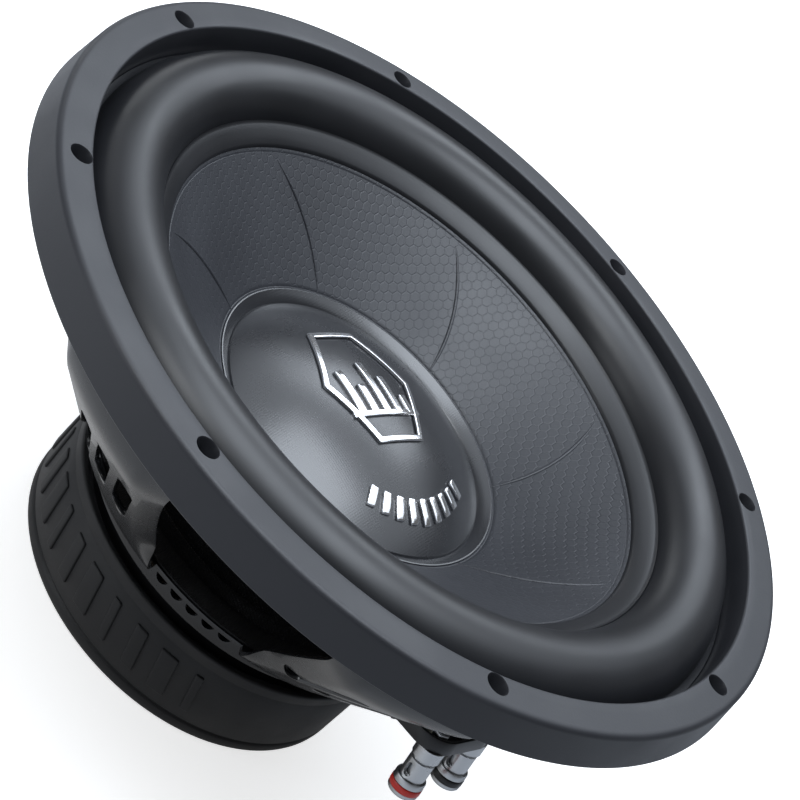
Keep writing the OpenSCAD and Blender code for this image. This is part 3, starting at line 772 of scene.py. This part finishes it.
def wall_at(height):
    """Radius of the sloping wall's outside at a height."""
    share = (height - WALL_FOOT[1]) / (WALL_TOP[1] - WALL_FOOT[1])
    return WALL_FOOT[0] + share * (WALL_TOP[0] - WALL_FOOT[0])


basket_section = (
    [(36, 41), (69.8, 41)] + arc((69.8, 42.8), 1.8, -70, 0, 4)
    + [(71.6, 45), (71.6, 51), (71.6, 53.2), (72.0, 54.1), (72.9, 54.4), (76.5, 54.4),
       (80.3, 54.4), (83.6, 54.45), (84.9, 55.3)]
    + [(wall_at(z), z) for z in (57, 60, 64, 68, 72, 76.5, 81, 85.5, 90, 94.5, 99, 103.5, 107)]
    + [(135.0, 109.8), (136.4, 112.4), (137.2, 115.5), (137.5, 119), (137.5, 124.8),
       (138.5, 125.4), (138.5, 131.0), (138.9, 132.0), (139.6, 132.4), (145, 132.4),
       (152.2, 132.4), (153, 132.9)])


def ease(value):
    """A smooth step from 0 to 1."""
    value = min(max(value, 0), 1)
    return value * value * (3 - 2 * value)


def basket_sixth(middle, window_floor):
    """One window with half a panel on each side. window_floor is the window's lowest height."""
    sixth = draw_section("basket_sixth", basket_section, closed=False)
    bpy.ops.mesh.select_all(action="SELECT")
    bpy.ops.mesh.spin(steps=SECTOR_STEPS, angle=math.radians(60), center=(0, 0, 0), axis=AXIS)
    bpy.ops.object.mode_set(mode="OBJECT")
    mesh = sixth.data
    angles = [math.degrees(math.atan2(v.co.y, v.co.x)) for v in mesh.vertices]
    offset = (min(angles) + max(angles)) / 2
    for polygon in mesh.polygons:
        centre = polygon.center
        angle = abs(math.degrees(math.atan2(centre.y, centre.x)) - offset)
        radius, height = math.hypot(centre.x, centre.y) / MM, centre.z / MM
        polygon.select = angle < WINDOW_HALF and radius > 80.3 and window_floor < height < 124.9
    for vertex, angle in zip(mesh.vertices, angles):
        beside = abs(angle - offset) - WINDOW_HALF
        height = vertex.co.z / MM
        if beside < -1e-3 or height < 54.5:
            continue
        near_edge = max(1 - beside / (FLANK_SHARE * (30 - WINDOW_HALF)), 0)
        rolled = near_edge ** 1.2 * ease((height - window_floor) / 16) * ease((126 - height) / 20)
        radius = math.hypot(vertex.co.x, vertex.co.y) - FLANK_DEPTH * rolled * MM
        climb = min(max((height - window_floor) / (124.8 - window_floor), 0), 1)
        swing = WINDOW_BULGE * near_edge * math.sin(math.pi * climb ** 0.8)
        turned = math.radians(angle + math.copysign(swing, angle - offset))
        vertex.co.x, vertex.co.y = radius * math.cos(turned), radius * math.sin(turned)
    bpy.ops.object.mode_set(mode="EDIT")
    bpy.ops.mesh.select_mode(type="FACE")
    bpy.ops.mesh.delete(type="FACE")
    bpy.ops.mesh.select_mode(type="VERT")
    bpy.ops.object.mode_set(mode="OBJECT")
    sixth.rotation_euler = (0, 0, math.radians(middle - offset))
    take(sixth)
    apply_transform()
    return sixth


sixths = [basket_sixth(45 + 60 * k, 54.3) for k in range(5)] + [basket_sixth(345, 72)]
basket = join("basket_shell", sixths)
bpy.ops.object.mode_set(mode="EDIT")
bpy.ops.mesh.select_all(action="SELECT")
bpy.ops.mesh.remove_doubles(threshold=2e-6)
bpy.ops.mesh.normals_make_consistent(inside=False)
bpy.ops.object.mode_set(mode="OBJECT")
lowest = min(basket.data.polygons, key=lambda p: p.center.z)
if lowest.normal.z > 0:
    basket.data.flip_normals()
wall = basket.modifiers.new("wall", "SOLIDIFY")
wall.thickness = 1.6 * MM
wall.offset = -1
wall.use_even_offset = True
bpy.ops.object.modifier_apply(modifier=wall.name)
print("basket shell:", len(basket.data.polygons), "faces")


# %% Holes in the basket
def pin(name, place, radius, length, sides=32):
    """A round cutter along Z, in millimetres."""
    deselect_all()
    bpy.ops.mesh.primitive_cylinder_add(vertices=sides, radius=radius * MM, depth=length * MM,
                                        location=[v * MM for v in place])
    cutter = bpy.context.object
    cutter.name = name
    return cutter


def put(piece, matrix):
    """Moves a piece's mesh by a matrix, with its object left at the origin."""
    take(piece)
    apply_transform()
    piece.data.transform(matrix)
    return piece


WALL_ANGLE = math.atan2(WALL_TOP[1] - WALL_FOOT[1], WALL_TOP[0] - WALL_FOOT[0])


SLOT_RADIUS, SLOT_HALF, SLOT_STEP, SLOT_SLANT = 4.2, 14.8, 13.2, math.radians(74)


def slot_pin(name, height, radius, half_length):
    """A cutter for a slot with round ends, along Y."""
    cutter = pin(name, (0, 0, height), radius, 16)
    for vertex in cutter.data.vertices:
        if abs(vertex.co.y) > 1e-6:
            vertex.co.y += math.copysign(half_length * MM, vertex.co.y)
    return cutter


def slot_cutter(place):
    """A slanted slot across the sloping wall."""
    lean = Matrix.Rotation(math.pi - WALL_ANGLE, 4, "Y")
    return put(slot_pin("slot", 0, SLOT_RADIUS, SLOT_HALF),
               Matrix.Translation((112.5 * MM, 0, 85 * MM)) @ lean
               @ Matrix.Translation((0, place * MM, 0)) @ Matrix.Rotation(SLOT_SLANT, 4, "Z"))


panel_cutters = join("panel_cutters",
                     [slot_cutter(place) for place in (-SLOT_STEP, 0, SLOT_STEP)])
cutters = copy_round(panel_cutters, [15 + 60 * k for k in range(6)])
vent = put(pin("vent", (0, 0, 0), 2.75, 12), Matrix.Translation((0.0716, 0, 0.048))
           @ Matrix.Rotation(math.pi / 2, 4, "Y"))
cutters += copy_round(vent, [45 + 60 * k + 5.85 * j for k in range(6) for j in range(-2, 3)])
bolt = put(pin("bolt", (HOLE_CIRCLE, 0, 133), 2.75, 6), Matrix.Identity(4))
cutters += copy_round(bolt, [45 * k for k in range(8)])
screw = put(pin("screw", (52, 0, 42), 2.6, 6), Matrix.Identity(4))
cutters += copy_round(screw, [60 * k for k in range(6)])
cut_away(basket, join("cutters", cutters))
round_edges(basket, 0.4, 2, 50)
take(basket)
shade_smooth(35)
settle(basket, "frame", basket_paint, "basket")

# %% [markdown]
# ## Motor
# The magnet wears a moulded rubber boot with a groove near its back, and raised
# blocks round its side where a maker would put a name. Plain slanted blocks stand in
# for that. They are modelled flat and then wrapped round the boot.

# %% Magnet boot
BOOT_RADIUS, BLOCK_MIDDLE = 72.5, 19.5
boot_section = (
    [(16, 0.9)] + arc((16.9, 0.9), 0.9, 180, 270, 3)
    + [(30, 0), (52, 0), (53, 0.5), (54.5, 0.5), (55.5, 0), (66, 0)]
    + arc((69.7, 2.8), 2.8, -90, 0, 6)
    + [(BOOT_RADIUS, 4.7), (72.2, 5.1), (71.7, 5.5), (71.7, 6.1), (72.2, 6.5)]
    + [(BOOT_RADIUS, 6.9), (BOOT_RADIUS, 31.4), (72.25, 31.9), (72.25, 32.5)]
    + [(BOOT_RADIUS, 33.0), (BOOT_RADIUS, 35.8)]
    + arc((71.5, 36), 1.0, 0, 90, 4) + [(70.3, 37), (70.3, 2.0), (16, 2.0)])
magnet_boot = turn("rubber_boot", boot_section, 240, smooth=40)
settle(magnet_boot, "frame", boot_rubber, "magnet_boot")


def boot_block(turned, width, height, lean):
    """One raised block, wrapped round the boot at an angle."""
    deselect_all()
    bpy.ops.mesh.primitive_cube_add(size=1, location=(0, 0, 0))
    block = bpy.context.object
    block.scale = (width * MM, 1.6 * MM, height * MM)
    apply_transform()
    bpy.ops.object.mode_set(mode="EDIT")
    bpy.ops.mesh.select_all(action="SELECT")
    bpy.ops.mesh.bevel(offset=0.7 * MM, segments=3, affect="EDGES")
    bpy.ops.mesh.select_all(action="SELECT")
    bpy.ops.mesh.subdivide(number_cuts=2)
    bpy.ops.object.mode_set(mode="OBJECT")
    for vertex in block.data.vertices:
        around = turned + math.degrees((vertex.co.x + lean * vertex.co.z) / (BOOT_RADIUS * MM))
        radius = (BOOT_RADIUS + 0.1) * MM - vertex.co.y
        vertex.co = (radius * math.cos(math.radians(around)),
                     radius * math.sin(math.radians(around)), vertex.co.z + BLOCK_MIDDLE * MM)
    return block


blocks = []
for side in (0, 180):
    for k in range(11):
        width = (7.5, 3.6, 5.5)[k % 3]
        blocks.append(boot_block(200 + side + 10.2 * k, width, 17, -0.28))
boot_blocks = join("boot_blocks", blocks)
shade_smooth(50)
settle(boot_blocks, "frame", boot_rubber)


# %% [markdown]
# The plates, the screws, the bracket and the nuts have the right shape already. The
# real ones have eased edges that catch the light, so each gets a copy with a
# fine bevel. The copy's loose triangles are merged first.

# %% Eased copies of CAD parts
def eased_copy(name, node, width, material, body, angle=32, segments=2):
    """A CAD node's shape with eased edges, in a finish of its own."""
    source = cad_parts[node]
    mesh = source.data.copy()
    piece = bpy.data.objects.new(name, mesh)
    bpy.context.collection.objects.link(piece)
    take(piece)
    bpy.ops.object.mode_set(mode="EDIT")
    bpy.ops.mesh.select_all(action="SELECT")
    bpy.ops.mesh.remove_doubles(threshold=1e-6)
    bpy.ops.mesh.dissolve_limited(angle_limit=math.radians(1))
    bpy.ops.object.mode_set(mode="OBJECT")
    round_edges(piece, width, segments, angle)
    shade_smooth(30)
    settle(piece, body, material, node)
    return piece


for part, width, material in (("top_plate", 0.5, plate_black), ("yoke", 0.4, plate_black),
                              ("plate_screws", 0.25, screw_zinc),
                              ("bracket_rivets", 0.25, screw_zinc),
                              ("terminal_bracket", 0.4, bracket_plastic),
                              ("positive_nut", 0.25, post_chrome),
                              ("negative_nut", 0.25, post_chrome)):
    eased_copy(part + "_eased", part, width, material, "frame")

# %% [markdown]
# ## Terminals
# Each post is turned, with a slot for the wire, a collar and a threaded stem. Below
# it, on a spring, sits a push cap with a knurled skirt, so that a thumb can press it.
# The knurl is cut into the turned cap by pulling every other column of points inwards.

# %% Posts
TERMINAL_TURN, TERMINAL_TILT = math.radians(-15), math.radians(-14)
at_terminals = (Matrix.Rotation(TERMINAL_TURN, 4, "Z") @ Matrix.Translation((0.1112, 0, 0.0691))
                @ Matrix.Rotation(TERMINAL_TILT, 4, "Y"))
POST_OFFSET, WIRE_HEIGHT = 11.8, -8.7


def at_post(side):
    """The frame of one post: its axis is Z, and its cap is below zero."""
    return at_terminals @ Matrix.Translation((0, side * POST_OFFSET * MM, 0))


def turned_post(name, side, node):
    """A binding post: a barrel, a groove, a collar and a threaded stem, with a wire slot."""
    section = [(0, -4.4), (2.95, -4.4), (3.0, -4.5), (3.0, -13.8), (3.2, -14.0), (4.6, -14.0),
               (4.8, -13.8), (4.8, -4.4), (4.6, -4.2), (4.2, -4.1), (4.2, -3.3), (4.9, -3.2),
               (5.3, -2.9), (5.3, 1.8), (5.1, 2.0), (2.0, 2.0)]
    for k in range(9):
        section += [(2.0, 2.6 + 0.9 * k), (1.75, 3.05 + 0.9 * k)]
    post = turn(name, section + [(1.5, 11.0), (0, 11.0)], 72, closed=False, smooth=30)
    slot = slot_pin("wire_slot", WIRE_HEIGHT, 1.6, 1.1)
    put(slot, Matrix.Translation((0, 0, WIRE_HEIGHT * MM))
        @ Matrix.Rotation(math.pi / 2, 4, "X") @ Matrix.Translation((0, 0, -WIRE_HEIGHT * MM)))
    cut_away(post, slot)
    round_edges(post, 0.15, 2, 50)
    shade_smooth(35)
    post.data.transform(at_post(side))
    settle(post, "frame", post_chrome, node)


turned_post("positive_turned_post", -1, "positive_post")
turned_post("negative_turned_post", 1, "negative_post")


# %% Springs
def coil_spring(name, side, node):
    """The spring between a cap and its post, made at its rest length."""
    top, bottom, steps, coils = -14.35, -17.75, 72, 3
    path = []
    for i in range(steps + 1):
        turned = 2 * math.pi * coils * i / steps
        path.append((3.9 * math.cos(turned), 3.9 * math.sin(turned),
                     bottom + (top - bottom) * i / steps))
    spring = tube(name, path, [1.0] * len(path), 0.3, 2)
    place = at_post(side)
    spring.data.transform(place)
    settle(spring, None, spring_steel, node)
    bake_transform(spring)


coil_spring("positive_coil_spring", -1, "positive_spring")
coil_spring("negative_coil_spring", 1, "negative_spring")


# %% Push caps
CAP_COLUMNS, SKIRT_RADIUS, KNURL_DEPTH = 96, 5.8, 0.2


def push_cap(name, side, body, band_finish, node, band_node):
    """A knurled cap, its plunger and its coloured band."""
    section = [(0, -19.5), (4.9, -19.5), (5.5, -19.3), (5.75, -18.9), (5.85, -18.6),
               (5.85, -17.75), (5.55, -17.6), (5.55, -15.0), (5.85, -14.85), (5.85, -12.9),
               (5.6, -12.4), (4.95, -12.4), (4.95, -18.1), (2.9, -18.2), (2.9, -7.2),
               (2.7, -6.9), (0, -6.9)]
    cap = turn(name, section, CAP_COLUMNS, closed=False, smooth=30)
    for vertex in cap.data.vertices:
        radius = math.hypot(vertex.co.x, vertex.co.y) / MM
        column = round(math.atan2(vertex.co.y, vertex.co.x) / (2 * math.pi / CAP_COLUMNS))
        if radius > SKIRT_RADIUS and column % 2:
            vertex.co.x *= 1 - KNURL_DEPTH / radius
            vertex.co.y *= 1 - KNURL_DEPTH / radius
    place = at_post(side)
    cap.data.transform(place)
    settle(cap, body, post_chrome, node)
    band = turn(name + "_band", [(5.5, -17.55), (5.9, -17.5), (6.0, -17.3), (6.0, -15.3),
                                 (5.9, -15.1), (5.5, -15.05)], 64, smooth=40)
    band.data.transform(place)
    settle(band, body, band_finish, band_node)


push_cap("positive_push_cap", -1, "positive_button", band_red, "positive_cap", "positive_band")
push_cap("negative_push_cap", 1, "negative_button", band_black, "negative_cap", "negative_band")

# %% [markdown]
# ## Spider and leads
# The spider is a disc of stiff cloth pressed into rings. The leads are three strands
# of braid twisted together. Both move with the cone at one end only.

# %% Spider
WAVES, WAVE_HEIGHT = 4, 1.5
crests = [(37 + 32 * i / 64, 56.1 + WAVE_HEIGHT * math.sin(2 * math.pi * WAVES * i / 64))
          for i in range(65)]
spider_section = ([(32.8, 56.05)] + crests
                  + [(71, 56.05), (79.4, 56.05), (79.4, 56.7), (71, 56.7)]
                  + [(r, z + 0.6) for r, z in reversed(crests)] + [(32.8, 56.7)])
spider = turn("corrugated_spider", spider_section, 180, smooth=60)
settle(spider, None, spider_cloth, "spider")
radial_blend(spider)


def smooth_path(points, steps):
    """More points along a smooth curve through the given ones."""
    out = []
    for i in range(len(points) - 1):
        a, b = Vector(points[max(i - 1, 0)]), Vector(points[i])
        c, d = Vector(points[i + 1]), Vector(points[min(i + 2, len(points) - 1)])
        for k in range(steps):
            t = k / steps
            out.append(0.5 * (2 * b + (c - a) * t + (2 * a - 5 * b + 4 * c - d) * t * t
                              + (3 * b - a - 3 * c + d) * t ** 3))
    return out + [Vector(points[-1])]


def twisted_lead(name, side, node):
    """Three strands wound round the lead's path."""
    y = side * POST_OFFSET
    route = smooth_path([(97.3, y, 79.1), (95.2, y, 83.0), (88, y * 0.98, 86.5),
                         (78, y * 0.92, 88.5), (68, y * 0.84, 86.5), (59, y * 0.76, 85),
                         (53.6, y * 0.7, 87), (52, y * 0.68, 91.4)], 14)
    strands = []
    for strand in range(3):
        path = []
        for i, point in enumerate(route):
            ahead = (route[min(i + 1, len(route) - 1)] - route[max(i - 1, 0)]).normalized()
            aside = ahead.cross(Vector((0, 1, 0))).normalized()
            level = ahead.cross(aside)
            turned = i * 0.62 + strand * 2 * math.pi / 3
            path.append(point + 0.42 * (math.cos(turned) * aside + math.sin(turned) * level))
        strands.append(tube(name + "_strand", path, [1.0] * len(path), 0.46, 2))
    lead = join(name, strands)
    lead.data.transform(Matrix.Rotation(TERMINAL_TURN, 4, "Z"))
    settle(lead, None, lead_braid, node)
    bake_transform(lead)


twisted_lead("positive_twisted_lead", -1, "positive_lead")
twisted_lead("negative_twisted_lead", 1, "negative_lead")

# %% [markdown]
# ## Parts that keep their CAD shape
# The hidden motor parts and the small metal parts stay as they are, and get a finish.

# %% Finishes on the CAD nodes
for node, material in (("coil_former", former_paper), ("coil_winding", copper_wire),
                       ("former_collar", former_paper), ("magnet", ferrite),
                       ("vent_screen", steel_screen), ("positive_tag", tag_tin),
                       ("negative_tag", tag_tin), ("lead_eyelets", tag_tin)):
    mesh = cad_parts[node].data
    mesh.materials.clear()
    mesh.materials.append(material)
print("finished CAD nodes")

# %% The end
deselect_all()
